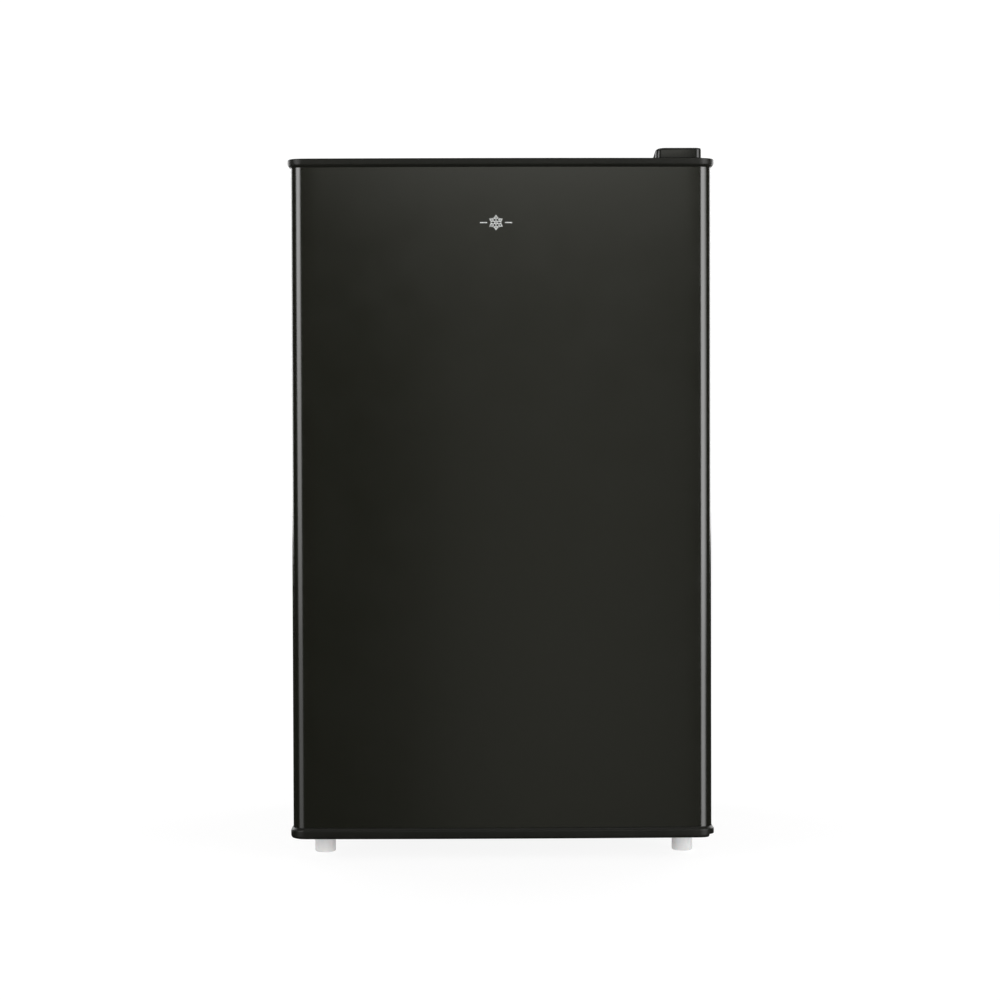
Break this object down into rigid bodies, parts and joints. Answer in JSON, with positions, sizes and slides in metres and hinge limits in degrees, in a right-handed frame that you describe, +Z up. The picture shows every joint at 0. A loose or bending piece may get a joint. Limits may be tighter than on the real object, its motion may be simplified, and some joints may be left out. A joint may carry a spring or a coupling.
{
  "type": "mini fridge",
  "caption": "Under-counter compact refrigerator with a right-hinged flat door, freezer box with flap, glass shelves, crisper drawer, door bins and rear compressor.",
  "frame": {"origin": "on the floor under the centre of the bounding box", "axes": "+Z up, -Y out of the door's face, +X to the right of someone facing the door"},
  "size_m": [0.507, 0.53, 0.845],
  "materials": {
    "charcoal_paint": "satin paint",
    "back_sheet": "matt black pre-painted sheet",
    "galvanised_steel": "hot-dip galvanised",
    "zinc_plated_steel": "zinc plated",
    "black_cap_plastic": "moulded ABS, fine grain",
    "bay_plastic": "moulded polypropylene",
    "foot_plastic": "moulded light grey nylon",
    "bush_plastic": "acetal and soft vinyl",
    "liner_plastic": "vacuum-formed polystyrene",
    "fitting_plastic": "moulded polystyrene",
    "clear_plastic": "clear moulded polystyrene",
    "shelf_glass": "toughened, polished edges",
    "foam": "rigid polyurethane foam",
    "gasket_vinyl": "soft extruded vinyl",
    "badge_metal": "silver foil on plastic",
    "compressor_enamel": "black enamel",
    "condenser_enamel": "black enamel",
    "copper_tube": "drawn copper",
    "grommet_rubber": "moulded rubber",
    "evaporator_aluminium": "roll-bonded sheet"
  },
  "bodies": {
    "cabinet": {"cabinet_shell": "charcoal_paint", "back_panel": "back_sheet", "base_pan": "galvanised_steel", "front_rail": "charcoal_paint", "cabinet_insulation": "foam", "inner_liner": "liner_plastic", "top_hinge_bracket": "zinc_plated_steel", "top_hinge_pin": "zinc_plated_steel", "top_hinge_cover": "black_cap_plastic", "top_hinge_screw_1": "zinc_plated_steel", "top_hinge_screw_2": "zinc_plated_steel", "bottom_hinge_bracket": "zinc_plated_steel", "bottom_hinge_pin": "zinc_plated_steel", "bottom_hinge_screw_1": "zinc_plated_steel", "bottom_hinge_screw_2": "zinc_plated_steel", "hinge_hole_plug": "black_cap_plastic", "rear_left_foot": "bay_plastic", "rear_right_foot": "bay_plastic", "compressor_plate": "galvanised_steel", "compressor": "compressor_enamel", "compressor_grommet_1": "grommet_rubber", "compressor_grommet_2": "grommet_rubber", "compressor_grommet_3": "grommet_rubber", "compressor_grommet_4": "grommet_rubber", "relay_cover": "bay_plastic", "condenser": "condenser_enamel", "filter_drier": "copper_tube", "discharge_line": "copper_tube", "suction_line": "copper_tube", "drain_hose": "bush_plastic", "evaporation_tray": "bay_plastic", "evaporator_box": "evaporator_aluminium", "freezer_frame": "fitting_plastic", "thermostat_housing": "fitting_plastic", "crisper_cover": "shelf_glass"},
    "door": {"door_skin": "charcoal_paint", "door_top_cap": "black_cap_plastic", "door_bottom_cap": "black_cap_plastic", "door_insulation": "foam", "door_liner": "liner_plastic", "door_gasket": "gasket_vinyl", "door_badge": "badge_metal", "top_hinge_bush": "bush_plastic", "bottom_hinge_bush": "bush_plastic"},
    "upper_bin": {"upper_bin": "clear_plastic"},
    "middle_bin": {"middle_bin": "clear_plastic"},
    "bottle_bin": {"bottle_bin": "clear_plastic"},
    "freezer_flap": {"freezer_flap": "fitting_plastic"},
    "drip_tray": {"drip_tray": "clear_plastic"},
    "thermostat_dial": {"thermostat_dial": "fitting_plastic"},
    "upper_shelf": {"upper_shelf_glass": "shelf_glass", "upper_shelf_trim": "fitting_plastic"},
    "lower_shelf": {"lower_shelf_glass": "shelf_glass", "lower_shelf_trim": "fitting_plastic"},
    "crisper_drawer": {"crisper_drawer": "clear_plastic"},
    "front_left_foot_stud": {"front_left_foot_stud": "zinc_plated_steel"},
    "front_left_foot_pad": {"front_left_foot_pad": "foot_plastic"},
    "front_right_foot_stud": {"front_right_foot_stud": "zinc_plated_steel"},
    "front_right_foot_pad": {"front_right_foot_pad": "foot_plastic"}
  },
  "joints": [
    {"name": "door_hinge", "type": "hinge", "parent": "cabinet", "child": "door", "pos_m": [0.228, -0.243, 0.43], "axis": [0, 0, 1], "range_deg": [0, 110]},
    {"name": "freezer_flap_hinge", "type": "hinge", "parent": "cabinet", "child": "freezer_flap", "pos_m": [0, -0.089, 0.771], "axis": [-1, 0, 0], "range_deg": [0, 75]},
    {"name": "drip_tray_slide", "type": "slide", "parent": "cabinet", "child": "drip_tray", "axis": [0, -1, 0], "range_m": [0, 0.06]},
    {"name": "upper_shelf_slide", "type": "slide", "parent": "cabinet", "child": "upper_shelf", "axis": [0, -1, 0], "range_m": [0, 0.1]},
    {"name": "lower_shelf_slide", "type": "slide", "parent": "cabinet", "child": "lower_shelf", "axis": [0, -1, 0], "range_m": [0, 0.1]},
    {"name": "crisper_slide", "type": "slide", "parent": "cabinet", "child": "crisper_drawer", "axis": [0, -1, 0], "range_m": [0, 0.132]},
    {"name": "thermostat_dial_turn", "type": "hinge", "parent": "cabinet", "child": "thermostat_dial", "pos_m": [0.19, -0.01, 0.592], "axis": [-1, 0, 0], "range_deg": [0, 270]},
    {"name": "upper_bin_lift", "type": "slide", "parent": "door", "child": "upper_bin", "axis": [0, 0, 1], "range_m": [0, 0.025]},
    {"name": "middle_bin_lift", "type": "slide", "parent": "door", "child": "middle_bin", "axis": [0, 0, 1], "range_m": [0, 0.025]},
    {"name": "bottle_bin_lift", "type": "slide", "parent": "door", "child": "bottle_bin", "axis": [0, 0, 1], "range_m": [0, 0.025]},
    {"name": "front_left_foot_height", "type": "slide", "parent": "cabinet", "child": "front_left_foot_stud", "axis": [0, 0, 1], "range_m": [0, 0.01001]},
    {"name": "front_left_foot_turn", "type": "hinge", "parent": "front_left_foot_stud", "child": "front_left_foot_pad", "pos_m": [-0.215, -0.192, 0.012], "axis": [0, 0, 1], "range_deg": [0, 2880]},
    {"name": "front_right_foot_height", "type": "slide", "parent": "cabinet", "child": "front_right_foot_stud", "axis": [0, 0, 1], "range_m": [0, 0.01001]},
    {"name": "front_right_foot_turn", "type": "hinge", "parent": "front_right_foot_stud", "child": "front_right_foot_pad", "pos_m": [0.219, -0.192, 0.012], "axis": [0, 0, 1], "range_deg": [0, 2880]}
  ],
  "couplings": [
    {"joint": "freezer_flap_hinge", "follows": "door_hinge", "ratio": 0.68},
    {"joint": "drip_tray_slide", "follows": "door_hinge", "m_per_rad": 0.0312},
    {"joint": "upper_shelf_slide", "follows": "door_hinge", "m_per_rad": 0.052},
    {"joint": "lower_shelf_slide", "follows": "door_hinge", "m_per_rad": 0.052},
    {"joint": "crisper_slide", "follows": "door_hinge", "m_per_rad": 0.0687},
    {"joint": "front_left_foot_height", "follows": "front_left_foot_turn", "m_per_rad": 0.00019894},
    {"joint": "front_right_foot_height", "follows": "front_right_foot_turn", "m_per_rad": 0.00019894}
  ]
}
